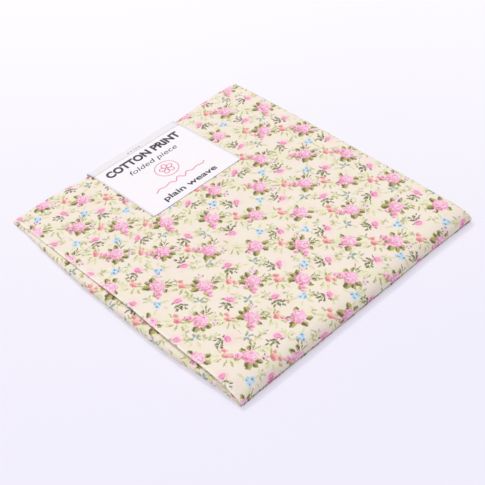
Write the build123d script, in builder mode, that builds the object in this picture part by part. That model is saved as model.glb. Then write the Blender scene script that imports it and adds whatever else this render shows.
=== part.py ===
"""A cut of printed cotton, folded flat into a twelve-layer packet, with a paper label wrapped round one edge.

The cut is folded in thirds along its length, which gives a strip of three layers with two sharp folded
edges, along X- and X+. The strip is then rolled in quarters: the inner quarter is covered by the upper
quarter, the front bend joins that to the bottom quarter, and the back outer bend joins the bottom quarter
to the top one, whose raw end lies free just behind the front bend. The stack is thin at its two sharp edges, where
the folds and the label press it, and full between them.

Frame, in millimetres: origin at the bottom centre of the bounding box, X from the labelled edge to the
turned-down edge, Y from the front bend to the back bends, Z up.
"""

import os
from math import acos, atan2, cos, degrees, radians, sin

from build123d import *

# Cloth packet
packet_length = 150.0  # X, a third of the 450 mm cut
packet_width = 137.0  # Y, a quarter of the 550 mm cut, less what the bends take
strip_at_edge = 0.45  # thickness of the three-layer strip at the labelled edge
strip_at_crease = 0.70  # the same at the label's crease
strip_past_label = 1.52  # the same just past the label
strip_full = 1.80  # the same at the shoulder, where the packet is fullest
strip_at_end = 0.50  # the same at the turned-down edge
shoulder_run = 9.0  # the top turns down over this length
raw_setback = 1.6  # the top quarter's raw end lies this far in from the front bend's face
inner_end_gap = 1.0  # the inner quarter stops short of the front bend

# Paper label
label_depth = 45.0  # X, length of each panel from its crease
label_width = 53.0  # Y
label_shift = 0.4  # Y, label centre from the packet centre
label_standoff = 1.0  # the paper loop stands this far past the cloth
paper = 0.20  # thickness of the paper
crease_inset = 4.9  # creases lie this far in from the cloth's edge
nose_radius = 1.1  # outer radius of the paper loop's nose
label_corner = 1.0  # corner radius of a panel
pressed_margin = 3.0  # the pressed zone reaches this far past the label
crease_gap = 0.10  # the moving panel starts this far from the crease axis

# Adhesive strips, one under each panel
tape = 0.06  # thickness
tape_depth = 12.0  # X
tape_margin = 4.0  # from the panel's free end and sides

quarters = 4  # strip thicknesses in the stack
shoulder_steps = 4  # stations that follow the turned-down edge

# Places along X
total_length = packet_length + label_standoff
x_nose = -total_length / 2
x_edge = x_nose + label_standoff
x_end = total_length / 2
x_crease = x_edge + crease_inset
x_panel_end = x_crease + label_depth
x_pressed = x_panel_end + pressed_margin
x_shoulder = x_end - shoulder_run

# Places along Y
y_back = packet_width / 2
y_front = -packet_width / 2
y_raw = y_front + raw_setback
y_label = (y_back + y_front) / 2 + label_shift

# Stations along X, each with the strip's thickness there
shoulder_angles = [radians(90 * k / shoulder_steps) for k in range(1, shoulder_steps + 1)]
stations = [
    (x_edge, strip_at_edge),
    (x_crease, strip_at_crease),
    (x_pressed, strip_past_label),
    (x_shoulder, strip_full),
]
stations += [
    (x_shoulder + shoulder_run * sin(a), strip_at_end + (strip_full - strip_at_end) * cos(a))
    for a in shoulder_angles
]

# Slope of the stack's top under the label
rise = quarters * (strip_past_label - strip_at_crease)
slope = atan2(rise, x_pressed - x_crease)


def above_label_zone(x, lift):
    """Point at a given lift, square to the stack's top under the label, over the surface point at x."""
    surface = quarters * strip_at_crease + (x - x_crease) * rise / (x_pressed - x_crease)
    return (x - lift * sin(slope), surface + lift * cos(slope))


def y_front_bend(strip):
    """Where the flat layers meet the front bend, which wraps three strip thicknesses."""
    return y_front + 1.5 * strip


def y_back_bend(strip):
    """Where the flat layers meet the back bends, which wrap all four."""
    return y_back - 2 * strip


# Room in the underside for the paper, its adhesive and the lower run of the loop
pocket = Box(
    x_panel_end - x_nose,
    label_width,
    paper + tape,
    align=(Align.MIN, Align.CENTER, Align.MIN),
    mode=Mode.PRIVATE,
).moved(Location((x_nose, y_label, 0)))

cloth = []

# Four flat quarters: level in the stack, and where each starts in Y for a given strip thickness
flat_quarters = {
    "bottom_quarter": (0, y_front_bend),
    "inner_quarter": (1, lambda strip: y_front_bend(strip) + inner_end_gap),
    "upper_quarter": (2, y_front_bend),
    "top_quarter": (3, lambda strip: y_raw),
}
for name, (level, y_start) in flat_quarters.items():
    with BuildPart() as quarter:
        for x, strip in stations:
            with BuildSketch(Plane.YZ.offset(x)):
                with Locations((y_start(strip), level * strip)):
                    Rectangle(
                        y_back_bend(strip) - y_start(strip),
                        strip,
                        align=(Align.MIN, Align.MIN),
                    )
        loft(ruled=True)
        if name == "bottom_quarter":
            add(pocket, mode=Mode.SUBTRACT)
    quarter.part.label = name
    cloth.append(quarter.part)

# Three bends that join the quarters: level of the bend's centre, inside and outside radius in strip
# thicknesses, where its flat side is, and which way it bulges
bends = {
    "front_bend": (1.5, 0.5, 1.5, y_front_bend, -1),
    "back_inner_bend": (2, 0, 1, y_back_bend, 1),
    "back_outer_bend": (2, 1, 2, y_back_bend, 1),
}
for name, (centre, inside, outside, y_flat, way) in bends.items():
    with BuildPart() as bend:
        for x, strip in stations:
            y, z = y_flat(strip), centre * strip
            outer, inner = outside * strip, inside * strip
            with BuildSketch(Plane.YZ.offset(x)):
                with BuildLine():
                    ThreePointArc((y, z - outer), (y + way * outer, z), (y, z + outer))
                    if inside:
                        Line((y, z + outer), (y, z + inner))
                        ThreePointArc((y, z + inner), (y + way * inner, z), (y, z - inner))
                        Line((y, z - inner), (y, z - outer))
                    else:
                        Line((y, z + outer), (y, z - outer))
                make_face()
        loft(ruled=True)
    bend.part.label = name
    cloth.append(bend.part)

# Label: the moving front panel lies on its adhesive, on the slope of the stack's top
start_x, start_z = above_label_zone(x_crease + crease_gap, tape)
front_plane = Plane(
    origin=(start_x, y_label, start_z),
    x_dir=(cos(slope), 0, sin(slope)),
    z_dir=(-sin(slope), 0, cos(slope)),
)
front_length = (label_depth - crease_gap) / cos(slope)
with BuildPart() as front_panel:
    with BuildSketch(front_plane) as outline:
        Rectangle(front_length, label_width, align=(Align.MIN, Align.CENTER))
        fillet(outline.vertices().group_by(Axis.X)[-1], label_corner)
    extrude(amount=paper)
front_panel.part.label = "label_front_panel"

with BuildPart() as front_tape:
    with BuildSketch(front_plane.offset(-tape)):
        with Locations((front_length - tape_margin, 0)):
            Rectangle(
                tape_depth,
                label_width - 2 * tape_margin,
                align=(Align.MAX, Align.CENTER),
            )
    extrude(amount=tape)
front_tape.part.label = "label_front_adhesive"

# Label spine: from the front crease out over the nose and back under the cloth to the back crease
crease_top = above_label_zone(x_crease, tape + paper)
nose_centre = (x_nose + nose_radius, nose_radius)
across, up = crease_top[0] - nose_centre[0], crease_top[1] - nose_centre[1]
tangent = atan2(up, across) + acos(nose_radius / (across**2 + up**2) ** 0.5)
nose_middle = (tangent + radians(270)) / 2
inner_nose = nose_radius - paper
crease_under = (crease_top[0] - paper * cos(tangent), crease_top[1] - paper * sin(tangent))


def on_nose(radius, angle):
    return (nose_centre[0] + radius * cos(angle), nose_centre[1] + radius * sin(angle))


with BuildPart() as spine:
    with BuildSketch(Plane.XZ.offset(-(y_label + label_width / 2))):
        with BuildLine():
            Line(crease_top, on_nose(nose_radius, tangent))
            ThreePointArc(
                on_nose(nose_radius, tangent),
                on_nose(nose_radius, nose_middle),
                (nose_centre[0], 0),
            )
            Line((nose_centre[0], 0), (x_crease, 0))
            Line((x_crease, 0), (x_crease, paper))
            Line((x_crease, paper), (nose_centre[0], paper))
            ThreePointArc(
                (nose_centre[0], paper),
                on_nose(inner_nose, nose_middle),
                on_nose(inner_nose, tangent),
            )
            Line(on_nose(inner_nose, tangent), crease_under)
            Line(crease_under, crease_top)
        make_face()
    extrude(amount=label_width)
spine.part.label = "label_spine"

with BuildPart() as back_panel:
    with BuildSketch() as outline:
        with Locations((x_crease, y_label)):
            Rectangle(label_depth, label_width, align=(Align.MIN, Align.CENTER))
        fillet(outline.vertices().group_by(Axis.X)[-1], label_corner)
    extrude(amount=paper)
back_panel.part.label = "label_back_panel"

with BuildPart() as back_tape:
    with BuildSketch(Plane.XY.offset(paper)):
        with Locations((x_panel_end - tape_margin, y_label)):
            Rectangle(
                tape_depth,
                label_width - 2 * tape_margin,
                align=(Align.MAX, Align.CENTER),
            )
    extrude(amount=tape)
back_tape.part.label = "label_back_adhesive"

label = [front_panel.part, front_tape.part, spine.part, back_panel.part, back_tape.part]

os.makedirs("parts", exist_ok=True)
for piece in cloth + label:
    export_step(piece, f"parts/{piece.label}.step")

print(f"crease axis: x {crease_top[0]:.4f}  y {y_label:.4f}  z {crease_top[1]:.4f} mm")
print(f"slope under the label: {degrees(slope):.3f} degrees")
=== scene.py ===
"""Looks of the folded cotton packet and its paper label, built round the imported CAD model.

The cloth is one sheet, folded in thirds along X into a strip of three layers, and the strip is rolled
in quarters along Y, as in the CAD. Lengths are in millimetres until a mesh is made. A point of the cloth
also keeps its place on the flat cut, and the print is drawn from that.
"""

import math

import bmesh
import bpy
import numpy as np
from mathutils import Matrix, Vector, noise


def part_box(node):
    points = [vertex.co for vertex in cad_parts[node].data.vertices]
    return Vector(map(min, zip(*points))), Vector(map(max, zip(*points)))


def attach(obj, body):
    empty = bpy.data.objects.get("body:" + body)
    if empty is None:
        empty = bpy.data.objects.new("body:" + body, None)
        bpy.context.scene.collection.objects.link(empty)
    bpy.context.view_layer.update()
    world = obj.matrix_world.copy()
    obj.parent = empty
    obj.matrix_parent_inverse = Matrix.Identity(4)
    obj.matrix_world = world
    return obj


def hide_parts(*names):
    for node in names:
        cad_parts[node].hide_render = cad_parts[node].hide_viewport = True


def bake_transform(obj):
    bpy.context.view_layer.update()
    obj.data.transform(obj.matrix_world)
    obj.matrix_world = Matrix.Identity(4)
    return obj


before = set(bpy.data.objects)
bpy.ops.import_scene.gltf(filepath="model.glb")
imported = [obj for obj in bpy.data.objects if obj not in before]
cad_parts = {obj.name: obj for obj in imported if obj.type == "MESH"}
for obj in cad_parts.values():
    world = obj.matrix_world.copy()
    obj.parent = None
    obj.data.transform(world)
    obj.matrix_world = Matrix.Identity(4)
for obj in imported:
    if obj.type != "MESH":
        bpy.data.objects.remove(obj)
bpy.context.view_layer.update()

MM = 0.001  # metres in a millimetre
PI = math.pi


def box_mm(node):
    """Lowest and highest corner of a CAD node, in millimetres."""
    low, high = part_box(node)
    return [c / MM for c in low], [c / MM for c in high]


# ---- places, from the CAD nodes

bottom_low, bottom_high = box_mm("bottom_quarter")
top_low, top_high = box_mm("top_quarter")
spine_low, spine_high = box_mm("label_spine")
under_low, under_high = box_mm("label_back_panel")

X_EDGE = bottom_low[0]  # folded edge under the label
X_END = bottom_high[0]  # folded edge that is turned down
Y_RAW = top_low[1]  # raw end on top
Y_FRONT = box_mm("front_bend")[0][1]
Y_BACK = box_mm("back_outer_bend")[1][1]
Z_FULL = top_high[2]
X_CREASE = spine_high[0]
Z_CREASE = spine_high[2]
X_NOSE = spine_low[0]
X_PANEL = under_high[0]  # free end of both label panels
Y_LABEL = (under_low[1] + under_high[1]) / 2
LABEL_WIDTH = under_high[1] - under_low[1]

# ---- the folded cloth's proportions

SHOULDER = 9.0  # the top turns down over this length
X_SHOULDER = X_END - SHOULDER
EDGE_HEIGHT = 1.8  # height of the stack at the labelled edge
CREASE_HEIGHT = 2.8
END_HEIGHT = 2.0
# Stations along X, with the stack's height and slope at each
STACK_X = np.array([X_EDGE, X_CREASE, X_PANEL + 3.0, 20.0, X_SHOULDER])
STACK_Z = np.array([EDGE_HEIGHT, CREASE_HEIGHT, 6.08, 6.95, Z_FULL])
STACK_SLOPE = np.array([0.24, 0.110, 0.050, 0.012, 0.0])
CLOTH = 0.25  # thickness of the cloth where nothing presses it
FILL = 0.85  # most of a layer's share of the stack that the cloth takes
PAPER = 0.20  # thickness of the label
FLAP_A_GAP = 3.0  # the inner flap of the strip stops this far from the turned-down edge
FLAP_B_GAP = 5.2  # the covering flap stops this far from the labelled edge
INNER_GAP = 1.5  # the inner quarter stops this far from the front bend
EDGE_TURN = 1.0  # the sharp fold at the labelled edge starts this far in
END_TURN = 0.6  # and the one at the turned-down edge this far
RAW_STEPS = (-0.9, 0.5, 1.1)  # the raw end of the outer, middle and lower layer lies this far in
RAW_LIFT = 0.60  # the raw end stands this far off the front bend where it lifts
RAW_PRESS = 0.56  # share of the top quarter's height pressed out at the raw end
FRONT_BULGE = 3.2  # the front bend stands out this far along its middle
FRONT_TUCK = 0.5  # and is tucked in this far at the right
EDGE_SHIFTS = (0.15, 0.0, 0.0, 0.1, 0.5, 0.8, 1.0, 1.2)  # of each part's labelled edge, along X
END_SHIFTS = (0.0, 0.0, -0.4, -0.2, -0.8, -1.1, -1.4, -1.6)  # of each part's turned-down edge
POCKET_DEPTH = 0.30  # room in the underside for the label's back panel
CUT_WIDTH = 450.0  # the cut, flat, along X and along Y
THIRD = CUT_WIDTH / 3


def add_object(name, data):
    """A new object in the scene."""
    made = bpy.data.objects.new(name, data)
    bpy.context.scene.collection.objects.link(made)
    return made


def smooth(t):
    """0 to 1 with flat ends, for numbers and arrays."""
    t = np.clip(t, 0.0, 1.0)
    return t * t * (3 - 2 * t)


def hermite(x, xs, zs, slopes):
    """Smooth curve through (xs, zs) with those slopes."""
    k = np.clip(np.searchsorted(xs, x) - 1, 0, len(xs) - 2)
    width = xs[k + 1] - xs[k]
    t = np.clip((x - xs[k]) / width, 0.0, 1.0)
    a = (1 + 2 * t) * (1 - t) ** 2
    b = t * (1 - t) ** 2 * width
    c = t * t * (3 - 2 * t)
    d = t * t * (t - 1) * width
    return a * zs[k] + b * slopes[k] + c * zs[k + 1] + d * slopes[k + 1]


def stack(x):
    """Height of the whole stack over the table."""
    x = np.asarray(x, float)
    turned = np.clip((x - X_SHOULDER) / SHOULDER, 0.0, 1.0)
    shoulder = END_HEIGHT + (Z_FULL - END_HEIGHT) * np.sqrt(1 - turned**2)
    return np.where(x > X_SHOULDER, shoulder, hermite(x, STACK_X, STACK_Z, STACK_SLOPE))


def noise_at(x, y, size, seed):
    """Smooth noise between about -1 and 1, with bumps about size apart."""
    x, y = np.broadcast_arrays(np.asarray(x, float), np.asarray(y, float))
    values = [noise.noise(Vector((a / size, b / size, seed))) for a, b in zip(x.ravel(), y.ravel())]
    return np.array(values).reshape(x.shape)


def under_label(x, y):
    """1 under the label's front panel and 0 away from it."""
    along = smooth((X_PANEL + 5 - x) / 8)
    across = smooth((LABEL_WIDTH / 2 + 5 - np.abs(y - Y_LABEL)) / 8)
    return along * across


def billow(x, y):
    """How much the stack's height differs from its mean, as a share. The label keeps it flatter."""
    wide = 0.070 * noise_at(x, y, 34.0, 1.7)
    fine = 0.030 * noise_at(x, y, 13.0, 4.2)
    flat = under_label(x, y)
    return 1.0 + wide * (1 - 0.6 * flat) + fine * (1 - flat)


def pocket(x, y):
    """1 over the label's back panel and 0 away from it."""
    along = smooth((X_PANEL + 1.5 - x) / 1.5)
    across = smooth((LABEL_WIDTH / 2 + 1.5 - np.abs(y - Y_LABEL)) / 1.5)
    return along * across


def cloth_top(x, y):
    """Height of the cloth's upper surface."""
    return stack(x) * billow(x, y)


# ---- cloth: where each point lies

# Parts of the rolled strip, from the raw end on top to the end inside, with the points along each
ROLL_PARTS = ("top", "outer_bend", "bottom", "front_bend", "upper", "inner_bend", "inner")
ROLL_POINTS = (66, 16, 30, 18, 30, 8, 26)


def rolled(part, t, strip, start):
    """Outer face of the rolled strip: y, z and the inward direction, at t = 0 to 1 along a part."""
    back = Y_BACK - 2 * strip
    front = Y_FRONT + 1.5 * strip
    a = t * PI
    zero = 0 * strip
    if part == "top":
        return start + t * (back - start), 4 * strip, zero, zero - 1
    bend = (zero - np.sin(a), zero - np.cos(a))
    if part == "outer_bend":
        return back + 2 * strip * np.sin(a), 2 * strip * (1 + np.cos(a)), *bend
    if part == "bottom":
        return back + t * (front - back), zero, zero, zero + 1
    if part == "front_bend":
        return front - 1.5 * strip * np.sin(a), 1.5 * strip * (1 - np.cos(a)), -bend[0], -bend[1]
    if part == "upper":
        return front + t * (back - front), 3 * strip, zero, zero - 1
    if part == "inner_bend":
        return back + strip * np.sin(a), strip * (2 + np.cos(a)), *bend
    end = front + INNER_GAP
    return back + t * (end - back), strip, zero, zero + 1


def strip_layers(x):
    """Layers that share the strip's thickness: two at the labelled edge, three further in."""
    return 2 + smooth((x - X_EDGE - 0.3) / 2.2)


def spread(start, stop, count, ends=0.0):
    """Points from start to stop, closer together towards both ends."""
    t = np.linspace(0, 1, count)
    t = (1 - ends) * t + ends * smooth(t)
    return start + (stop - start) * t


def strip_section():
    """One line across the strip: x, depth below its outer face, place on the cut and layer."""
    points = []
    pitch_edge = float(stack(X_EDGE)) / 4 / 2
    pitch_end = float(stack(X_END)) / 4 / 3
    radius_edge, radius_end = pitch_edge / 2, pitch_end

    def flat(xs, layer, cut):
        for x in xs:
            pitch = float(stack(x)) / 4 / float(strip_layers(x))
            points.append((x, (layer + 0.5) * pitch, cut(x), layer))

    flat(spread(X_END - FLAP_A_GAP, X_EDGE + EDGE_TURN, 26, 0.5), 1, lambda x: THIRD - (x - X_EDGE))
    for a in np.linspace(0, PI, 9):
        x = X_EDGE + radius_edge * (1 - math.sin(a))
        up = math.cos(a)
        points.append((x, pitch_edge * (1 + 0.5 * up), THIRD - 0.3 * up, 0.5 + 0.5 * up))
    flat(spread(X_EDGE + EDGE_TURN, X_SHOULDER, 76, 0.35), 0, lambda x: THIRD + (x - X_EDGE))
    flat(spread(X_SHOULDER, X_END - END_TURN, 12)[1:], 0, lambda x: THIRD + (x - X_EDGE))
    for a in np.linspace(0, PI, 9):
        x = X_END - radius_end * (1 - math.sin(a))
        up = math.cos(a)
        points.append((x, pitch_end * (1.5 - up), 2 * THIRD - 0.5 * up, 1 - up))
    flat(spread(X_END - END_TURN, X_SHOULDER, 8), 2, lambda x: 2 * THIRD + (X_END - x))
    flat(spread(X_SHOULDER, X_EDGE + FLAP_B_GAP, 24, 0.5)[1:], 2, lambda x: 2 * THIRD + (X_END - x))
    return [np.array(column) for column in zip(*points)]


def shoulder_excess(x):
    """Extra cloth that the turned-down shoulder takes, over its level length, up to x."""
    a = np.linspace(0, PI / 2, 60)
    xs = X_SHOULDER + SHOULDER * np.sin(a)
    zs = END_HEIGHT + (Z_FULL - END_HEIGHT) * np.cos(a)
    length = np.concatenate([[0.0], np.cumsum(np.hypot(np.diff(xs), np.diff(zs)))])
    return np.interp(x, xs, length - (xs - X_SHOULDER))


def cut_excess(x, layer):
    """The same along the cut, for the covering layer 0, the inner flap 1 and the covering flap 2."""
    here, whole = shoulder_excess(x), shoulder_excess(X_END)
    excess = np.select([layer == 2, layer == 1], [2 * whole - here, -here], here)
    folding = (x > X_END - END_TURN) & (layer != 1)
    return np.where(folding, whole, excess)


def raw_lift(x, y):
    """How far the raw end on top stands off the front bend."""
    along = smooth((x + 22) / 34) * (1 - 0.65 * smooth((x - 52) / 22))
    wander = 1 + 0.35 * noise_at(x, 0, 16.0, 8.1)
    return RAW_LIFT * along * wander * smooth((Y_RAW + 10 - y) / 10)


def raw_press(y):
    """Share of the top quarter's height that is pressed out towards its raw end."""
    return RAW_PRESS * smooth((Y_RAW + 9 - y) / 9)


def cloth_points():
    """Middle surface of the neat folded cloth, its points' places on the cut, thickness and parts."""
    x, depth, cut_x, layer = strip_section()
    strip = stack(x) / 4
    start = Y_RAW + np.interp(layer, (0, 1, 2), RAW_STEPS)
    excess = cut_excess(x, layer)
    rows, cut_rows, across_rows, part_rows = [], [], [], []
    travelled = np.zeros_like(x)
    last = None
    for part, count in zip(ROLL_PARTS, ROLL_POINTS):
        shares = spread(0, 1, count, 0.3)
        if part == "top":
            shares = np.concatenate([[0.0, 0.001, 0.004], shares[1:]])
        for k, t in enumerate(shares):
            if k == 0 and last is not None:
                continue
            y, z, inward_y, inward_z = rolled(part, t, strip, start)
            face = np.stack([x, y + 0 * strip, z + 0 * strip], -1)
            if last is not None:
                travelled = travelled + np.linalg.norm(face - last, axis=-1)
            last = face
            middle = face + np.stack([0 * x, inward_y * depth, inward_z * depth], -1)
            rows.append(middle)
            cut_rows.append(travelled + (start - Y_RAW))
            across_rows.append(cut_x + excess * z / (4 * strip))
            part_rows.append(ROLL_PARTS.index(part) + t)
    middle = np.array(rows)
    cut = np.stack([np.array(across_rows), np.array(cut_rows)], -1)
    pitch = strip / strip_layers(x)
    thickness = np.minimum(CLOTH, FILL * pitch)
    return middle, cut, thickness, np.array(part_rows)


def edge_pinch(y):
    """How far the label's loop pulls the folded edge in: in at the label, out at the corners."""
    return 1.5 * smooth((46 - np.abs(y - Y_LABEL)) / 20) - 0.5


def front_tuck(x):
    """How far the front bend lies in from its line: out along its middle, in at the right."""
    bulge = FRONT_BULGE * smooth((x + 80) / 62) * (1 - smooth((x - 18) / 62))
    return FRONT_TUCK * smooth((x - 50) / 25) - bulge


def settle(middle, parts):
    """Bends the neat stack into a soft one: billows, uneven folds, a raw end that lifts."""
    x, y, z = (middle[..., k].copy() for k in range(3))
    parts = parts[:, None]
    stations = np.arange(8.0)  # where each part of the roll starts, and the inner end
    edge_shift = np.interp(parts, stations, EDGE_SHIFTS)
    end_shift = np.interp(parts, stations, END_SHIFTS)
    near_edge = 1 - smooth((x - X_EDGE) / 14)
    near_end = smooth((x - X_END + 14) / 14)
    wander_edge = 0.35 * noise_at(y, parts + 0 * x, 23.0, 2.3) + edge_pinch(y)
    wander_end = 0.45 * noise_at(y, parts + 0 * x, 27.0, 5.9)
    x_new = x + near_edge * (edge_shift + wander_edge) + near_end * (end_shift + wander_end)
    bottom_share = 1 - z / stack(x)
    top_quarter = parts < 1.0
    z = z - top_quarter * raw_press(y) * np.maximum(z - 0.75 * stack(x), 0.0)
    z_new = z * billow(x, y) + POCKET_DEPTH * pocket(x, y) * bottom_share + top_quarter * raw_lift(x, y)
    near_front = 1 - smooth((y - Y_FRONT) / 16)
    near_back = smooth((y - Y_BACK + 16) / 16)
    wave_front = 0.40 * noise_at(x, z, 31.0, 3.1) + smooth(parts - 1) * front_tuck(x)
    y_new = y + near_front * wave_front + near_back * 0.55 * noise_at(x, z, 37.0, 6.6)
    corner = np.exp(-(((x - X_END) / 9) ** 2 + ((y - Y_FRONT) / 9) ** 2))
    z_new = z_new * (1 - 0.22 * corner)
    return np.stack([x_new, y_new, z_new], -1)


def sheet_normals(middle):
    """Unit normals of a grid of points."""
    across = np.gradient(middle, axis=1)
    along = np.gradient(middle, axis=0)
    normal = np.cross(across, along)
    return normal / np.maximum(np.linalg.norm(normal, axis=-1, keepdims=True), 1e-9)


def closed_sheet(name, middle, thickness, flat_places=None, flip=False):
    """A closed mesh of both faces and the rim of a grid of points, none below the table."""
    rows, columns = middle.shape[:2]
    normal = sheet_normals(middle) * (-1 if flip else 1)
    half = np.broadcast_to(np.asarray(thickness) / 2, (rows, columns))[..., None]
    upper = (middle + normal * half).reshape(-1, 3)
    lower = (middle - normal * half).reshape(-1, 3)
    count = rows * columns
    index = np.arange(count).reshape(rows, columns)
    a, b, c, d = index[:-1, :-1], index[:-1, 1:], index[1:, 1:], index[1:, :-1]
    quads = np.stack([a, b, c, d], -1).reshape(-1, 4)
    rim = np.concatenate([index[0, :], index[1:, -1], index[-1, -2::-1], index[-2:0:-1, 0]])
    after = np.roll(rim, -1)
    rim_quads = np.stack([rim, rim + count, after + count, after], -1)
    faces = np.concatenate([quads, quads[:, ::-1] + count, rim_quads])
    if flip:
        faces = faces[:, ::-1]
    mesh = bpy.data.meshes.new(name)
    places = np.concatenate([upper, lower])
    places[:, 2] = np.maximum(places[:, 2], 0.0)
    mesh.from_pydata((places * MM).tolist(), [], faces.tolist())
    mesh.validate()
    mesh.shade_smooth()
    if flat_places is not None:
        flat = flat_places.reshape(-1, 2)
        right = np.concatenate([flat, np.zeros((count, 1))], -1)
        wrong = np.concatenate([flat, np.ones((count, 1))], -1)
        attribute = mesh.attributes.new("flat", "FLOAT_VECTOR", "POINT")
        attribute.data.foreach_set("vector", np.concatenate([right, wrong]).astype("f").ravel())
    return add_object(name, mesh)


def make_cloth():
    """The whole cut as one closed mesh, folded into the packet."""
    middle, cut, thickness, parts = cloth_points()
    middle = settle(middle, parts)
    return closed_sheet("cotton_cloth", middle, thickness[None, :], cut)


# ---- label

STAND_OFF = 0.03  # air between cloth and paper
CREASE_SLOPE = 0.075  # rise of the front panel just past the crease
LABEL_COLUMNS = 31
CORNER = 1.0  # corner radius of the panels' free ends
NOSE_RADIUS = 1.1  # of the paper loop round the cloth's edge
NOSE_FROM, NOSE_TO = 100, 262  # degrees that the nose turns through, from +X up
SPINE_BOW = 0.10  # the loop's upper run bows up by this between the crease and the nose


def panel_lift(x, y):
    """The front panel stands a little off the cloth at its free end and corners."""
    free_end = smooth((x - X_PANEL + 14) / 14)
    corner = smooth((np.abs(y - Y_LABEL) - LABEL_WIDTH / 2 + 12) / 12)
    return 0.01 * free_end + 0.06 * free_end * corner


def paper_face(x, y):
    """Height of the front panel's upper face."""
    near_crease = 1 - smooth((x - X_CREASE) / 6)
    on_cloth = cloth_top(x, y) + STAND_OFF + PAPER + panel_lift(x, y)
    return near_crease * (Z_CREASE + CREASE_SLOPE * (x - X_CREASE)) + (1 - near_crease) * on_cloth


def panel_row(ys, x):
    """Places across a panel at x, drawn in round its corners at the free end."""
    from_end = min(X_PANEL - x, CORNER)
    pull = CORNER - math.sqrt(max(CORNER**2 - (CORNER - from_end) ** 2, 0.0))
    return ys * (1 - pull / (LABEL_WIDTH / 2)) + Y_LABEL


def label_grid():
    """Middle surface of the paper from the front panel's free end round, and the crease's row in it."""
    ys = np.linspace(-1, 1, LABEL_COLUMNS) * LABEL_WIDTH / 2
    near_end = X_PANEL - np.array([0, 0.15, 0.4, 0.7])
    rows = []
    for x in np.concatenate([near_end, np.linspace(X_PANEL - 1.1, X_CREASE + 0.6, 42)]):
        y = panel_row(ys, x)
        rows.append(np.stack([x + 0 * y, y, paper_face(x, y) - PAPER / 2], -1))
    crease_row = len(rows) + 1
    half = PAPER / 2
    nose = NOSE_RADIUS - half
    centre = (X_NOSE + NOSE_RADIUS, NOSE_RADIUS)
    loop = [(X_CREASE + 0.25, Z_CREASE - half + 0.015), (X_CREASE - 0.02, Z_CREASE - half - 0.02)]
    first = math.radians(NOSE_FROM)
    end_x, end_z = centre[0] + nose * math.cos(first), centre[1] + nose * math.sin(first)
    for t in (0.06, 0.14, 0.25, 0.4, 0.55, 0.7, 0.85):
        bow = SPINE_BOW * math.sin(PI * t)
        x = X_CREASE + t * (end_x - X_CREASE)
        loop.append((x, Z_CREASE - half - 0.02 + t * (end_z - Z_CREASE + half) + bow))
    for angle in np.linspace(NOSE_FROM, NOSE_TO, 10):
        a = math.radians(angle)
        loop.append((centre[0] + nose * math.cos(a), centre[1] + nose * math.sin(a)))
    loop += [(X_NOSE + 1.6, half), (X_NOSE + 3.2, half), (X_CREASE, half)]
    y = ys + Y_LABEL
    for x, z in loop:
        rows.append(np.stack([x + 0 * y, y, z + 0 * y], -1))
    for x in np.concatenate([np.linspace(X_CREASE + 3, X_PANEL - 1.1, 16), near_end[::-1]]):
        y = panel_row(ys, x)
        rows.append(np.stack([x + 0 * y, y, half + 0 * y], -1))
    return np.array(rows), crease_row


def make_label():
    """The paper. Each point keeps its distance from the crease, below 0 on the front panel, and its Y."""
    middle, crease_row = label_grid()
    step = np.linalg.norm(np.diff(middle, axis=0), axis=-1)
    along = np.concatenate([np.zeros((1, middle.shape[1])), np.cumsum(step, axis=0)])
    along -= along[crease_row]
    places = np.stack([along, middle[..., 1] - Y_LABEL], -1)
    return closed_sheet("paper_label", middle, PAPER * 0.96, places, flip=True)


def on_panel(points):
    """Places on the front panel for drawn points: right is +Y and up is -X."""
    x, y = points[:, 0], points[:, 1]
    return np.stack([x, y, paper_face(x, y)], -1)


INK = 0.02  # ink stands this far proud of the paper


def cut_small(points, polygons, longest=0.9):
    """The same flat shape with no edge longer than that, so that it can follow a curved face."""
    work = bmesh.new()
    made = [work.verts.new((p[0], p[1], 0.0)) for p in points]
    for polygon in polygons:
        if len(set(polygon)) > 2 and work.faces.get([made[i] for i in polygon]) is None:
            work.faces.new([made[i] for i in polygon])
    for _ in range(4):
        bmesh.ops.triangulate(work, faces=work.faces[:])
        long_edges = [e for e in work.edges if e.calc_length() > longest]
        if not long_edges:
            break
        bmesh.ops.subdivide_edges(work, edges=long_edges, cuts=1)
    bmesh.ops.triangulate(work, faces=work.faces[:])
    work.verts.index_update()
    points = np.array([v.co[:2] for v in work.verts])
    polygons = [[v.index for v in f.verts] for f in work.faces]
    work.free()
    return points, polygons


def closed_ink(name, points, polygons, face=None):
    """A thin closed piece of ink over flat polygons drawn on the label's panel, or on another face."""
    points, polygons = cut_small(points, polygons)
    base = (face or on_panel)(points)
    count = len(points)
    turned_up = []
    for p in polygons:
        a, b, c = points[p[0]], points[p[1]], points[p[2]]
        area = (b[0] - a[0]) * (c[1] - a[1]) - (b[1] - a[1]) * (c[0] - a[0])
        turned_up.append(p if area > 0 else p[::-1])
    polygons = turned_up
    top = base.copy()
    top[:, 2] += INK
    low = base.copy()
    low[:, 2] -= INK
    edges = dict.fromkeys(edge for p in polygons for edge in zip(p, list(p[1:]) + [p[0]]))
    sides = [(j, i, i + count, j + count) for i, j in edges if (j, i) not in edges]
    underside = [tuple(q + count for q in reversed(p)) for p in polygons]
    faces = [tuple(p) for p in polygons] + underside + sides
    mesh = bpy.data.meshes.new(name)
    mesh.from_pydata((np.concatenate([top, low]) * MM).tolist(), [], faces)
    mesh.validate()
    return add_object(name, mesh)


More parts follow.
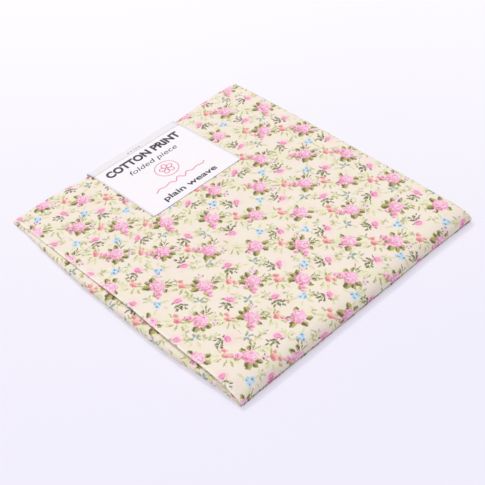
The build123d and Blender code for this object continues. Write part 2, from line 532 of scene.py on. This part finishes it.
def text_shape(body, bold):
    """Flat points and faces of a line of text in Blender's own font."""
    curve = bpy.data.curves.new("line_of_text", "FONT")
    curve.body = body
    curve.size = 1.0
    curve.offset = bold
    curve.resolution_u = 4
    holder = add_object("line_of_text", curve)
    bpy.context.view_layer.update()
    mesh = bpy.data.meshes.new_from_object(holder.evaluated_get(bpy.context.evaluated_depsgraph_get()))
    points = np.array([v.co for v in mesh.vertices])
    faces = [list(p.vertices) for p in mesh.polygons]
    bpy.data.objects.remove(holder)
    bpy.data.curves.remove(curve)
    bpy.data.meshes.remove(mesh)
    return points, faces


def ink_text(name, body, x_top, x_base, y_from, y_to, bold=0.0, slant=0.0):
    """A line of text between two places in Y, its letters' tops towards -X."""
    points, faces = text_shape(body, bold)
    width = points[:, 0].max() - points[:, 0].min()
    height = points[:, 1].max() - points[:, 1].min()
    right = (points[:, 0] - points[:, 0].min()) / width
    up = (points[:, 1] - points[:, 1].min()) / height
    along = y_from + right * (y_to - y_from) + slant * up * (x_base - x_top)
    placed = np.stack([x_base - up * (x_base - x_top), along], -1)
    return closed_ink(name, placed, faces)


def ribbon(points, width):
    """Flat polygons of a line of that width through the points, closed if its ends meet."""
    points = np.asarray(points, float)
    closed = np.allclose(points[0], points[-1])
    if closed:
        points = points[:-1]
        tangent = np.roll(points, -1, 0) - np.roll(points, 1, 0)
    else:
        tangent = np.gradient(points, axis=0)
    tangent /= np.linalg.norm(tangent, axis=1, keepdims=True)
    side = np.stack([-tangent[:, 1], tangent[:, 0]], -1)
    width = np.broadcast_to(width, (len(points),))[:, None]
    outline = np.concatenate([points + side * width / 2, points - side * width / 2])
    n = len(points)
    last = n if closed else n - 1
    faces = [[k, (k + 1) % n, (k + 1) % n + n, k + n] for k in range(last)]
    return outline, faces


def joined(shapes):
    """Several flat shapes as one."""
    points, faces, first = [], [], 0
    for p, f in shapes:
        points.append(p)
        faces += [[i + first for i in face] for face in f]
        first += len(p)
    return np.concatenate(points), faces


RING_RADIUS = 5.7
PETALS = 5
PETAL_OUT = 2.15  # from the blossom's middle to a petal's
PETAL_HALF_LENGTH, PETAL_HALF_WIDTH = 1.55, 1.15


def emblem_shapes(x, y):
    """A round thin outline with a five-petal blossom inside, both generic."""
    angles = np.linspace(0, 2 * PI, 61)
    ring = [(x + RING_RADIUS * math.cos(a), y + RING_RADIUS * math.sin(a)) for a in angles]
    shapes = [ribbon(ring, 0.36)]
    for k in range(PETALS):
        turn = PI + 2 * PI * k / PETALS
        cx, cy = x + PETAL_OUT * math.cos(turn), y + PETAL_OUT * math.sin(turn)
        loop = []
        for a in np.linspace(0, 2 * PI, 25):
            out, side = PETAL_HALF_LENGTH * math.cos(a), PETAL_HALF_WIDTH * math.sin(a)
            right = out * math.cos(turn) - side * math.sin(turn)
            up = out * math.sin(turn) + side * math.cos(turn)
            loop.append((cx + right, cy + up))
        shapes.append(ribbon(loop, 0.42))
    return shapes


# ---- shaders


def linear(red, green, blue):
    """Scene colour from screen values 0 to 255."""
    out = []
    for c in (red, green, blue):
        c = c / 255
        out.append(c / 12.92 if c <= 0.04045 else ((c + 0.055) / 1.055) ** 2.4)
    return (*out, 1.0)


class Shader:
    """Short calls for a material's nodes. An input is a number, a tuple or another node's output."""

    def __init__(self, name):
        self.material = bpy.data.materials.new(name)
        self.material.use_nodes = True
        self.tree = self.material.node_tree
        self.tree.nodes.clear()

    def node(self, kind, **settings):
        made = self.tree.nodes.new(kind)
        for key, value in settings.items():
            setattr(made, key, value)
        return made

    def feed(self, socket, value):
        if isinstance(value, bpy.types.NodeSocket):
            self.tree.links.new(value, socket)
        elif value is not None:
            socket.default_value = value

    def math(self, operation, a, b=None, c=None):
        made = self.node("ShaderNodeMath", operation=operation)
        for socket, value in zip(made.inputs, (a, b, c)):
            self.feed(socket, value)
        return made.outputs[0]

    def times(self, a, b):
        return self.math("MULTIPLY", a, b)

    def vector(self, operation, a, b=None):
        made = self.node("ShaderNodeVectorMath", operation=operation)
        self.feed(made.inputs[0], a)
        if b is not None:
            self.feed(made.inputs[1], b)
        number = operation in ("DOT_PRODUCT", "LENGTH")
        return made.outputs["Value" if number else "Vector"]

    def shift(self, colour, size):
        """A random colour as a step in X and Y, up to half of size each way."""
        centred = self.vector("SUBTRACT", colour, (0.5, 0.5, 0.5))
        return self.vector("MULTIPLY", centred, (size, size, 0.0))

    def combine(self, x, y, z=0.0):
        made = self.node("ShaderNodeCombineXYZ")
        for socket, value in zip(made.inputs, (x, y, z)):
            self.feed(socket, value)
        return made.outputs[0]

    def separate(self, vector):
        made = self.node("ShaderNodeSeparateXYZ")
        self.feed(made.inputs[0], vector)
        return made.outputs

    def ramp(self, value, low, high, at_low=0.0, at_high=1.0):
        """Smooth step from at_low to at_high as value goes from low to high."""
        made = self.node("ShaderNodeMapRange", interpolation_type="SMOOTHSTEP")
        for socket, number in zip(made.inputs, (value, low, high, at_low, at_high)):
            self.feed(socket, number)
        return made.outputs[0]

    def mix(self, factor, a, b, blend="MIX"):
        made = self.node("ShaderNodeMix", data_type="RGBA", blend_type=blend)
        self.feed(made.inputs[0], factor)
        self.feed(made.inputs[6], a)
        self.feed(made.inputs[7], b)
        return made.outputs[2]

    def noise(self, vector, scale, detail=2.0, roughness=0.5):
        made = self.node("ShaderNodeTexNoise")
        self.feed(made.inputs["Vector"], vector)
        made.inputs["Scale"].default_value = scale
        made.inputs["Detail"].default_value = detail
        made.inputs["Roughness"].default_value = roughness
        return made.outputs

    def bump(self, height, strength, distance):
        made = self.node("ShaderNodeBump")
        made.inputs["Strength"].default_value = strength
        made.inputs["Distance"].default_value = distance
        self.feed(made.inputs["Height"], height)
        return made.outputs[0]

    def place(self):
        """Place in the object's own metres."""
        return self.node("ShaderNodeTexCoord").outputs["Object"]

    def flat_place(self):
        """Place on the flat sheet, kept in its mesh."""
        return self.node("ShaderNodeAttribute", attribute_name="flat").outputs["Vector"]

    def finish(self, colour, roughness, normal=None, **settings):
        shader = self.node("ShaderNodeBsdfPrincipled")
        self.feed(shader.inputs["Base Color"], colour)
        self.feed(shader.inputs["Roughness"], roughness)
        if normal is not None:
            self.feed(shader.inputs["Normal"], normal)
        for key, value in settings.items():
            self.feed(shader.inputs[key.replace("_", " ")], value)
        out = self.node("ShaderNodeOutputMaterial")
        self.tree.links.new(shader.outputs[0], out.inputs[0])
        return self.material


# Colours of the print
GROUND = linear(246, 235, 222)
WASH = linear(240, 234, 206)
BLUSH = linear(248, 222, 216)
PINK = linear(246, 146, 196)
PALE_PINK = linear(254, 206, 230)
BRIGHT = linear(255, 232, 242)
MAGENTA = linear(208, 72, 126)
LILAC = linear(242, 208, 230)
MAUVE = linear(140, 96, 108)
CORAL = linear(228, 116, 130)
PALE_CORAL = linear(248, 190, 184)
OLIVE = linear(180, 174, 92)
DARK_OLIVE = linear(98, 94, 42)
GREEN = linear(140, 142, 94)
DARK_GREEN = linear(84, 88, 50)
SPRIG = linear(186, 182, 118)
PALE_SPRIG = linear(222, 222, 172)
SAGE = linear(176, 186, 150)
STEM = linear(132, 132, 66)
TEAL = linear(146, 172, 156)
PALE_SKY = linear(214, 236, 248)
SKY = linear(166, 208, 238)
DEEP_BLUE = linear(70, 108, 168)

CELL_X = 13.75  # half the distance between roses in a row
CELL_Y = 14.3  # distance between rows


def lattice(g, place, shift, seed, jitter, size=1.0):
    """Place measured from the nearest point of a diamond lattice, and three random numbers for it."""
    cell_x, cell_y = size * CELL_X, size * CELL_Y
    p = g.vector("SUBTRACT", place, (shift[0], shift[1], 0.0))
    a = g.math("ROUND", g.vector("DOT_PRODUCT", p, (0.5 / cell_x, 0.5 / cell_y, 0.0)))
    b = g.math("ROUND", g.vector("DOT_PRODUCT", p, (0.5 / cell_x, -0.5 / cell_y, 0.0)))
    along = g.times(g.math("ADD", a, b), cell_x)
    across = g.times(g.math("SUBTRACT", a, b), cell_y)
    centre = g.combine(along, across)
    random = g.node("ShaderNodeTexWhiteNoise", noise_dimensions="3D")
    g.feed(random.inputs["Vector"], g.combine(a, b, seed))
    chance = g.separate(random.outputs["Color"])
    wander = g.shift(random.outputs["Color"], jitter)
    local = g.vector("SUBTRACT", g.vector("SUBTRACT", p, centre), wander)
    return local, chance


def mirrored(g, local, chance):
    """The motif or its mirror image, by chance."""
    side = g.math("SIGN", g.math("SUBTRACT", chance, 0.5))
    return g.vector("MULTIPLY", local, g.combine(side, 1.0, 1.0))


def turned(g, local, angle):
    """The place turned about the motif's centre."""
    made = g.node("ShaderNodeVectorRotate", rotation_type="Z_AXIS")
    g.feed(made.inputs["Vector"], local)
    g.feed(made.inputs["Angle"], angle)
    return made.outputs[0]


def blob(g, p, x, y, degrees, long, wide, soft=0.3):
    """Mask of an ellipse, and the place across it, -1 to 1."""
    c, s = math.cos(math.radians(degrees)), math.sin(math.radians(degrees))
    a = g.math("ADD", g.vector("DOT_PRODUCT", p, (c / long, s / long, 0.0)), -(x * c + y * s) / long)
    b = g.math("ADD", g.vector("DOT_PRODUCT", p, (-s / wide, c / wide, 0.0)), -(y * c - x * s) / wide)
    distance = g.math("MULTIPLY_ADD", a, a, g.times(b, b))
    return g.ramp(distance, 1 - soft, 1 + soft, 1.0, 0.0), b


def draw(g, colour, mask, paint, present=None):
    """The colour with paint over it where the mask says, and only where present."""
    if present is not None:
        mask = g.times(mask, present)
    return g.mix(mask, colour, paint)


def leaf(g, colour, p, x, y, degrees, long, wide, first, second, present=None, fade=(-0.25, 0.35)):
    """A leaf or petal whose colour fades from the first to the second across it."""
    mask, across = blob(g, p, x, y, degrees, long, wide)
    paint = g.mix(g.ramp(across, *fade), first, second)
    return draw(g, colour, mask, paint, present)


def strokes(g, colour, p, marks, paint, present=None):
    """Slender leaves or strokes in one colour."""
    for x, y, turn, long, wide in marks:
        colour = draw(g, colour, blob(g, p, x, y, turn, long, wide)[0], paint, present)
    return colour


def draw_fillers(g, colour, place):
    """Coral blossoms over pale sprigs, between the large motifs."""
    p, chance = lattice(g, place, (CELL_X / 2, CELL_Y / 2), 11.0, 3.0)
    p = mirrored(g, p, chance[2])
    colour = draw(g, colour, blob(g, p, 0.5, 0.0, 20, 5.2, 3.6, 0.8)[0], WASH, 0.75)
    pale = (
        (3.4, 2.6, 40, 1.9, 0.5),
        (5.0, 1.2, 0, 1.7, 0.5),
        (-3.4, -2.6, 220, 1.9, 0.5),
        (-1.6, -3.9, 265, 1.6, 0.45),
    )
    colour = strokes(g, colour, p, pale, PALE_SPRIG)
    green = (
        (2.2, 1.6, 40, 1.6, 0.42),
        (4.5, -0.6, -25, 1.5, 0.42),
        (2.3, -2.0, -60, 1.6, 0.4),
        (-0.4, -3.0, 75, 1.4, 0.38),
        (-4.2, 0.6, 170, 1.4, 0.4),
    )
    colour = strokes(g, colour, p, green, SPRIG)
    present = g.math("GREATER_THAN", chance[0], 0.3)
    for x, y, size in ((-0.2, 0.6, 1.65), (-2.5, 2.0, 1.15), (1.0, 2.7, 0.8)):
        petal = (x, y, 20, size, size * 0.86, CORAL, PALE_CORAL, present, (-0.7, 0.7))
        colour = leaf(g, colour, p, *petal)
    dark = ((-0.1, 0.3, 0, 0.55, 0.35), (-2.6, 1.9, 40, 0.4, 0.25))
    return strokes(g, colour, p, dark, MAGENTA, g.times(present, 0.6))


def draw_sprigs(g, colour, place):
    """Teal-grey sprigs, or small blue flowers with dark dots."""
    p, chance = lattice(g, place, (CELL_X / 2, -CELL_Y / 2), 23.0, 3.4)
    p = turned(g, p, g.times(chance[2], 2 * PI))
    pale = (
        (3.2, 2.0, 30, 1.8, 0.5),
        (-3.2, 1.8, 140, 1.8, 0.5),
        (0.3, -3.6, 270, 1.9, 0.5),
        (-3.0, -2.6, 215, 1.4, 0.45),
    )
    colour = strokes(g, colour, p, pale, PALE_SPRIG)
    teal = (
        (1.2, 0.7, 30, 1.2, 0.55),
        (-0.3, 1.5, 100, 1.1, 0.5),
        (1.1, -0.9, -35, 1.1, 0.5),
        (-1.6, 0.1, 170, 1.2, 0.5),
    )
    colour = strokes(g, colour, p, teal, TEAL, g.math("LESS_THAN", chance[0], 0.45))
    flower = g.math("GREATER_THAN", chance[0], 0.45)
    for x, y, size in ((0.9, 0.5, 1.25), (-0.9, 0.7, 1.2), (0.0, -1.0, 1.3)):
        petal = (x, y, 30, size, size * 0.85, SKY, PALE_SKY, flower, (-0.8, 0.9))
        colour = leaf(g, colour, p, *petal)
    dots = ((1.0, 0.8, 0, 0.42, 0.38), (-1.0, 0.5, 0, 0.4, 0.36), (0.2, -1.1, 0, 0.42, 0.36))
    return strokes(g, colour, p, dots, DEEP_BLUE, g.times(flower, 0.85))


def draw_small_sprigs(g, colour, place):
    """Fine two-tone sprigs that fill the ground between the motifs, turned by chance."""
    kinds = ((51.0, (1.7, 3.1), SPRIG, PALE_SPRIG), (67.0, (8.3, -2.2), PALE_SPRIG, SAGE))
    for seed, shift, paint, second in kinds:
        p, chance = lattice(g, place, shift, seed, 4.2, 0.5)
        p = turned(g, p, g.times(chance[2], 2 * PI))
        present = g.math("GREATER_THAN", chance[0], 0.22)
        first = ((0.0, 0.0, 0, 1.5, 0.34), (1.2, 0.9, 55, 1.0, 0.42), (-0.7, 0.8, 120, 0.9, 0.40))
        colour = strokes(g, colour, p, first, paint, present)
        later = ((0.6, -0.9, -50, 1.0, 0.42), (-1.5, -0.6, 215, 0.9, 0.40), (2.2, 0.1, 10, 0.6, 0.38))
        colour = strokes(g, colour, p, later, second, present)
    return colour


def draw_buds(g, colour, place):
    """A pink bud over slender dark leaves, turned by chance."""
    p, chance = lattice(g, place, (CELL_X, 0.0), 37.0, 2.4)
    p = mirrored(g, p, chance[2])
    step = g.math("FLOOR", g.times(chance[0], 4.0))
    p = turned(g, p, g.math("MULTIPLY_ADD", step, 0.75, -1.1))
    colour = draw(g, colour, blob(g, p, -0.6, 1.0, 20, 3.3, 2.6, 0.8)[0], BLUSH, 0.7)
    colour = strokes(g, colour, p, ((0.9, -1.3, -55, 2.1, 0.18),), GREEN)
    leaves = (
        (2.1, -0.6, 22, 1.30, 0.55),
        (2.8, -2.3, -35, 1.30, 0.55),
        (0.5, -2.5, -105, 1.20, 0.52),
        (-1.4, -1.3, 215, 1.05, 0.46),
        (4.0, -0.1, 55, 0.90, 0.40),
        (1.7, -4.0, -70, 1.00, 0.42),
        (4.6, -1.8, 0, 0.90, 0.38),
    )
    for x, y, turn, long, wide in leaves:
        colour = leaf(g, colour, p, x, y, turn, long, wide, GREEN, DARK_GREEN)
    mask, across = blob(g, p, -0.3, 0.5, 60, 1.9, 1.45, 0.45)
    paint = g.mix(g.ramp(across, -0.9, 0.6), PALE_PINK, PINK)
    colour = draw(g, colour, mask, paint)
    return strokes(g, colour, p, ((-0.1, -0.2, 30, 1.0, 0.38), (0.5, 0.7, 75, 0.8, 0.28)), MAGENTA, 0.75)


def draw_leaves(g, colour, p, often, seldom):
    """Round olive leaves close round the rose, and grass above it."""
    leaves = (
        (-4.4, 0.9, 165, 2.00, 1.35, None),
        (-4.6, -1.6, 200, 1.70, 1.10, often),
        (-2.7, -3.7, 235, 2.10, 1.65, None),
        (0.9, -4.3, 280, 1.50, 1.15, seldom),
        (3.1, -3.6, 310, 1.80, 1.25, often),
        (4.4, 0.6, 15, 1.60, 1.10, None),
        (-2.5, 3.9, 125, 1.60, 1.15, seldom),
        (3.4, 3.5, 45, 1.45, 0.90, often),
    )
    for x, y, turn, long, wide, present in leaves:
        colour = leaf(g, colour, p, x, y, turn, long, wide, OLIVE, DARK_OLIVE, present)
    grass = ((0.9, 5.2, 100, 1.7, 0.30), (2.6, 5.9, 68, 1.9, 0.30), (4.4, 5.8, 30, 1.8, 0.28))
    return strokes(g, colour, p, grass, STEM, often)


def draw_side_buds(g, colour, p, often, seldom):
    """Small pink buds beside the rose, and a pale one with dark dots."""
    buds = ((4.0, -2.6, 1.55, often), (5.5, -4.2, 1.1, often), (0.4, -4.9, 1.2, seldom))
    for x, y, size, present in buds:
        bud = (x, y, 30, size, size * 0.82, PINK, PALE_PINK, present, (-0.8, 0.8))
        colour = leaf(g, colour, p, *bud)
        dark = ((x - 0.1, y - 0.1, 60, size * 0.5, size * 0.24),)
        colour = strokes(g, colour, p, dark, MAGENTA, g.times(present, 0.7))
    pale = g.times(often, 0.8)
    colour = draw(g, colour, blob(g, p, -4.9, 4.0, 30, 1.6, 1.2)[0], LILAC, pale)
    dots = (
        (-5.9, 4.9, 0, 0.4, 0.35),
        (-3.8, 5.2, 0, 0.38, 0.34),
        (-5.0, 3.1, 0, 0.45, 0.3),
        (-6.4, 3.2, 0, 0.36, 0.3),
    )
    return strokes(g, colour, p, dots, MAUVE, often)


def draw_roses(g, colour, place):
    """The large motif: a rose with leaves, and by chance side buds and grass."""
    p, chance = lattice(g, place, (0.0, 0.0), 5.0, 2.0)
    p = mirrored(g, p, chance[2])
    often = g.math("GREATER_THAN", chance[0], 0.35)
    seldom = g.math("LESS_THAN", chance[0], 0.55)
    p = turned(g, p, g.math("MULTIPLY_ADD", chance[1], 0.8, -0.4))
    p = g.vector("MULTIPLY", p, (1.08, 1.08, 1.0))
    colour = draw(g, colour, blob(g, p, 0.0, 0.0, 20, 7.2, 6.2, 0.7)[0], WASH, 0.6)
    colour = draw_leaves(g, colour, p, often, seldom)
    colour = draw_side_buds(g, colour, p, often, seldom)
    x, y, _ = g.separate(g.vector("MULTIPLY", p, (0.94, 1.06, 1.0)))
    angle = g.math("ARCTAN2", y, x)
    radius = g.vector("LENGTH", g.combine(x, y))
    scallop = g.math("SINE", g.math("MULTIPLY_ADD", angle, 7.0, 1.3))
    rim = g.math("MULTIPLY_ADD", scallop, -0.24, radius)
    inside = g.ramp(rim, 3.35, 3.95, 1.0, 0.0)
    wobble = g.math("SINE", g.math("MULTIPLY_ADD", angle, 3.0, g.times(radius, 1.3)))
    turns = g.math("MULTIPLY_ADD", angle, 1 / (2 * PI), g.math("DIVIDE", radius, 1.5))
    petal = g.math("FRACT", g.math("MULTIPLY_ADD", wobble, 0.24, turns))
    line = g.ramp(g.math("ABSOLUTE", g.math("SUBTRACT", petal, 0.5)), 0.30, 0.48)
    swirl = g.math("MULTIPLY_ADD", angle, 5.0, g.times(radius, -2.1))
    broken = g.ramp(g.math("SINE", swirl), -0.4, 0.5)
    shade = g.mix(g.ramp(petal, 0.1, 0.9), PALE_PINK, PINK)
    shade = g.mix(g.ramp(y, -3.4, 1.2, 0.55, 0.0), shade, MAGENTA)
    centre = g.ramp(g.vector("LENGTH", g.vector("SUBTRACT", p, (-0.6, 1.0, 0.0))), 0.4, 2.4, 0.6, 0.0)
    shade = g.mix(centre, shade, LILAC)
    shade = g.mix(g.times(g.times(line, broken), 0.85), shade, MAGENTA)
    flecks = g.ramp(g.noise(place, 1.25, 1.0)["Fac"], 0.52, 0.62, 0.0, 0.85)
    shade = g.mix(flecks, shade, BRIGHT)
    return draw(g, colour, inside, shade)


THREADS = 2 * PI / 0.37  # threads of the weave, per millimetre as an angle


def make_print():
    """Printed plain-weave cotton, drawn in the flat cut's millimetres and paler on the wrong side."""
    g = Shader("printed_cotton_look")
    x, y, wrong = g.separate(g.flat_place())
    flat = g.combine(x, y)
    drawn = g.vector("ADD", flat, g.shift(g.noise(flat, 0.7, 1.5)["Color"], 1.9))
    drawn = g.vector("ADD", drawn, g.shift(g.noise(flat, 2.6, 1.0)["Color"], 0.9))
    blush = g.ramp(g.noise(flat, 0.085, 1.0)["Fac"], 0.52, 0.72, 0.0, 0.45)
    colour = g.mix(blush, GROUND, BLUSH)
    colour = draw_small_sprigs(g, colour, drawn)
    colour = draw_fillers(g, colour, drawn)
    colour = draw_sprigs(g, colour, drawn)
    colour = draw_buds(g, colour, drawn)
    colour = draw_roses(g, colour, drawn)
    mottle = g.noise(flat, 1.6, 2.0)["Fac"]
    colour = g.mix(g.ramp(mottle, 0.35, 0.75, 0.0, 0.16), colour, GROUND)
    across = g.math("SINE", g.times(x, THREADS))
    along = g.math("SINE", g.times(y, THREADS))
    weave = g.times(across, along)
    slub = g.noise(g.vector("MULTIPLY", flat, (0.25, 3.0, 1.0)), 1.0, 2.0)["Fac"]
    colour = g.mix(g.ramp(weave, -1.0, 1.0, 0.10, 0.0), colour, linear(205, 190, 165), "MULTIPLY")
    colour = g.mix(g.times(wrong, 0.62), colour, GROUND)
    # Painted highlight: the cloth turns paler within about 0.4 mm of the cut's edges, so the raw end on top
    # shows a light rim.
    cut_edge = g.math("MINIMUM", y, g.math("MINIMUM", x, g.math("SUBTRACT", CUT_WIDTH, x)))
    raw = g.ramp(cut_edge, 0.05, 0.40, 0.4, 0.0)
    colour = g.mix(raw, colour, linear(250, 246, 236))
    height = g.math("ADD", weave, g.times(slub, 1.2))
    bump = g.bump(height, 0.25, 0.00006)
    settings = {"Sheen_Weight": 0.22, "Sheen_Roughness": 0.6, "Specular_IOR_Level": 0.25}
    return g.finish(colour, g.ramp(mottle, 0.2, 0.8, 0.82, 0.92), bump, **settings)


def make_paper():
    """White label paper: faint fibres, a painted shadow line along the crease, painted shade that greys the
    spine.
    """
    g = Shader("label_paper_look")
    place = g.place()
    fibre = g.noise(g.vector("MULTIPLY", place, (1.0, 0.35, 1.0)), 2600.0, 3.0, 0.6)["Fac"]
    cloud = g.noise(place, 90.0, 2.0)["Fac"]
    colour = g.mix(g.ramp(fibre, 0.3, 0.7, 0.0, 0.5), linear(250, 247, 251), linear(242, 239, 246))
    colour = g.mix(g.ramp(cloud, 0.4, 0.7, 0.0, 0.25), colour, linear(246, 240, 240))
    along, _, _ = g.separate(g.flat_place())
    # Painted shadow: a warm dark line along the crease, where the fold's shade falls.
    from_crease = g.math("ADD", g.math("ABSOLUTE", along), g.math("MULTIPLY_ADD", fibre, 0.3, -0.15))
    colour = g.mix(g.ramp(from_crease, 0.08, 0.42, 0.75, 0.0), colour, linear(196, 184, 180))
    # Painted shade: the loop's upper run past the crease is made greyer, as if tilted away from the light.
    spine = g.times(g.ramp(along, 0.1, 0.5), g.ramp(along, 5.0, 8.5, 1.0, 0.0))
    colour = g.mix(g.times(spine, 0.5), colour, linear(226, 224, 228))
    bump = g.bump(fibre, 0.12, 0.00002)
    return g.finish(colour, g.ramp(cloud, 0.3, 0.7, 0.42, 0.55), bump, Specular_IOR_Level=0.35)


def make_ink(name, tone):
    """Printing ink, slightly uneven where it has sunk into the paper."""
    g = Shader(name)
    place = g.place()
    grain = g.noise(place, 3000.0, 2.0)["Fac"]
    pale = tuple(c + (1 - c) * 0.25 for c in tone[:3]) + (1.0,)
    colour = g.mix(g.ramp(grain, 0.45, 0.75, 0.0, 0.6), tone, pale)
    return g.finish(colour, g.ramp(grain, 0.3, 0.7, 0.5, 0.7), Specular_IOR_Level=0.3)


def make_adhesive():
    """Dried glue, cream and slightly lumpy."""
    g = Shader("label_adhesive_look")
    place = g.place()
    spots = g.noise(place, 700.0, 3.0)["Fac"]
    colour = g.mix(g.ramp(spots, 0.4, 0.65), linear(236, 232, 220), linear(222, 214, 196))
    return g.finish(colour, g.ramp(spots, 0.3, 0.7, 0.25, 0.5), g.bump(spots, 0.3, 0.00003))


ADHESIVE = 0.05  # thickness
ADHESIVE_DROP = 0.03  # from the paper's face to the middle of the adhesive


def make_adhesive_strip(name, low, high, z_at):
    """A thin strip of adhesive in a box, with a slightly uneven outline."""
    xs = np.linspace(low[0], high[0], 16)
    ys = np.linspace(low[1], high[1], 46)
    x, y = np.meshgrid(xs, ys, indexing="ij")
    middle = (low[0] + high[0]) / 2
    x = middle + (x - middle) * (1 + 0.05 * noise_at(y, 0, 5.0, 9.3))
    z = z_at(x, y)
    return closed_sheet(name, np.stack([x, y, z], -1), ADHESIVE, flip=True)


# ---- build the pieces

CLOTH_NODES = (
    "bottom_quarter",
    "inner_quarter",
    "upper_quarter",
    "top_quarter",
    "front_bend",
    "back_inner_bend",
    "back_outer_bend",
)

cloth = make_cloth()
cloth.data.materials.append(make_print())
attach(cloth, "packet")
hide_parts(*CLOTH_NODES)

label = make_label()
label.data.materials.append(make_paper())
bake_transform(label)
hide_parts("label_front_panel", "label_spine", "label_back_panel")

ADHESIVE_LOOK = make_adhesive()


def place_adhesive(name, body, z_at):
    """An adhesive strip in place of the CAD node of the same name."""
    node = "label_" + name
    piece = make_adhesive_strip(name, *box_mm(node), z_at)
    piece.data.materials.append(ADHESIVE_LOOK)
    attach(piece, body)
    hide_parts(node)


place_adhesive("front_adhesive", "label_flap", lambda x, y: paper_face(x, y) - PAPER - ADHESIVE_DROP)
place_adhesive("back_adhesive", "packet", lambda x, y: PAPER + ADHESIVE_DROP + 0 * x)

GREY_INK = make_ink("grey_ink", linear(62, 62, 70))
PINK_INK = make_ink("pink_ink", linear(226, 110, 136))


def place_ink(piece, look, body="label_flap"):
    piece.data.materials.append(look)
    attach(piece, body)


def panel_text(name, body, tops, base, y_from, y_to, **style):
    """A line of text at distances from the crease and from the label's middle."""
    return ink_text(name, body, X_CREASE + tops, X_CREASE + base, Y_LABEL + y_from, Y_LABEL + y_to, **style)


place_ink(panel_text("ink_headline", "COTTON PRINT", 2.7, 8.1, -22.4, 21.0, bold=0.045), GREY_INK)
place_ink(panel_text("ink_fold_line", "folded piece", 11.0, 15.4, -15.0, 13.0, slant=0.25), GREY_INK)
emblem_points, emblem_faces = joined(emblem_shapes(X_CREASE + 22.9, Y_LABEL - 0.6))
place_ink(closed_ink("ink_emblem", emblem_points, emblem_faces), PINK_INK)
wave_y = np.linspace(-15.5, 14.5, 150)
wave_x = 32.7 + 1.25 * np.sin(wave_y * 1.15) * (0.6 + 0.4 * np.cos(wave_y * 0.31))
wave_points, wave_faces = ribbon(np.stack([X_CREASE + wave_x, Y_LABEL + wave_y], -1), 0.46)
place_ink(closed_ink("ink_flourish", wave_points, wave_faces), PINK_INK)
place_ink(panel_text("ink_weave_line", "plain weave", 38.0, 42.6, -16.0, 14.8, bold=0.022), GREY_INK)


def spine_face(points):
    """Places on the loop's upper side, between the crease and the nose."""
    fallen = (X_CREASE - points[:, 0]) / (X_CREASE - X_NOSE - NOSE_RADIUS)
    bow = SPINE_BOW * np.sin(PI * np.clip(fallen, 0, 1))
    top = Z_CREASE - 0.02 + fallen * (2 * NOSE_RADIUS - Z_CREASE) + bow
    return np.stack([points[:, 0], points[:, 1], top], -1)


X_DASHES = X_CREASE - 1.6
dashes = []
for y_from, y_to in ((-4.8, -3.9), (-3.0, -2.2), (-1.2, -0.6), (0.2, 0.9), (1.7, 2.6)):
    dashes.append(ribbon([(X_DASHES, Y_LABEL + y_from), (X_DASHES, Y_LABEL + y_to)], 0.55))
dash_points, dash_faces = joined(dashes)
place_ink(closed_ink("ink_spine_dashes", dash_points, dash_faces, face=spine_face), GREY_INK, "packet")

# ---- floor, light, camera


def make_floor():
    """A pale floor with a slight glow of its own, which keeps shadows on it light."""
    size = 3.0
    mesh = bpy.data.meshes.new("floor")
    corners = [(-size, -size, 0.0), (size, -size, 0.0), (size, size, 0.0), (-size, size, 0.0)]
    mesh.from_pydata(corners, [], [(0, 1, 2, 3)])
    floor = add_object("floor", mesh)
    g = Shader("floor_look")
    place = g.place()
    cloud = g.noise(place, 4.0, 1.0)["Fac"]
    colour = g.mix(g.ramp(cloud, 0.3, 0.7), linear(186, 183, 190), linear(188, 185, 191))
    far = g.ramp(g.vector("DOT_PRODUCT", place, (-0.78, 0.63, 0.0)), -0.16, 0.30)
    glow = g.mix(far, linear(162, 161, 176), linear(188, 187, 184))
    settings = {"Specular_IOR_Level": 0.2, "Emission_Strength": 1.0, "Emission_Color": glow}
    mesh.materials.append(g.finish(colour, 0.30, **settings))


def add_sun(name, towards, strength, colour, spread):
    """A distant light that shines along the direction given."""
    light = bpy.data.lights.new(name, "SUN")
    light.energy = strength
    light.color = colour
    light.angle = spread
    lamp = add_object(name, light)
    lamp.rotation_euler = Vector(towards).to_track_quat("-Z", "Y").to_euler()
    lamp.visible_glossy = False


def light_scene():
    world = bpy.data.worlds.new("studio")
    world.use_nodes = True
    background = world.node_tree.nodes["Background"]
    background.inputs["Color"].default_value = (0.99, 0.98, 1.0, 1.0)
    background.inputs["Strength"].default_value = 0.50
    bpy.context.scene.world = world
    add_sun("overhead", (0.15, 0.10, -1.0), 1.08, (1.0, 0.99, 1.0), 1.3)
    add_sun("window", (0.85, -0.10, -1.0), 0.90, (1.0, 0.98, 0.95), 0.05)


CAMERA_YAW, CAMERA_PITCH, CAMERA_ROLL = 51.33, 44.16, -6.44  # degrees
CAMERA_DISTANCE = 457.4
CAMERA_TARGET = (11.47, -6.97, 0.0)
CAMERA_LENS = 78.42  # millimetres, on a 36 mm sensor


def add_camera():
    yaw, pitch, roll = (math.radians(d) for d in (CAMERA_YAW, CAMERA_PITCH, CAMERA_ROLL))
    back = Vector((math.sin(yaw) * math.cos(pitch), -math.cos(yaw) * math.cos(pitch), math.sin(pitch)))
    right = Vector((math.cos(yaw), math.sin(yaw), 0.0))
    up = back.cross(right)
    turned_right = math.cos(roll) * right + math.sin(roll) * up
    turned_up = -math.sin(roll) * right + math.cos(roll) * up
    spot = (Vector(CAMERA_TARGET) + back * CAMERA_DISTANCE) * MM
    camera = add_object("camera", bpy.data.cameras.new("camera"))
    camera.data.lens = CAMERA_LENS
    camera.data.sensor_width = 36.0
    camera.data.clip_start = 0.01
    turn = Matrix((turned_right, turned_up, back)).transposed().to_4x4()
    camera.matrix_world = Matrix.Translation(spot) @ turn
    bpy.context.scene.camera = camera


make_floor()
light_scene()
add_camera()
bpy.context.scene.view_settings.view_transform = "Standard"

bpy.context.view_layer.update()
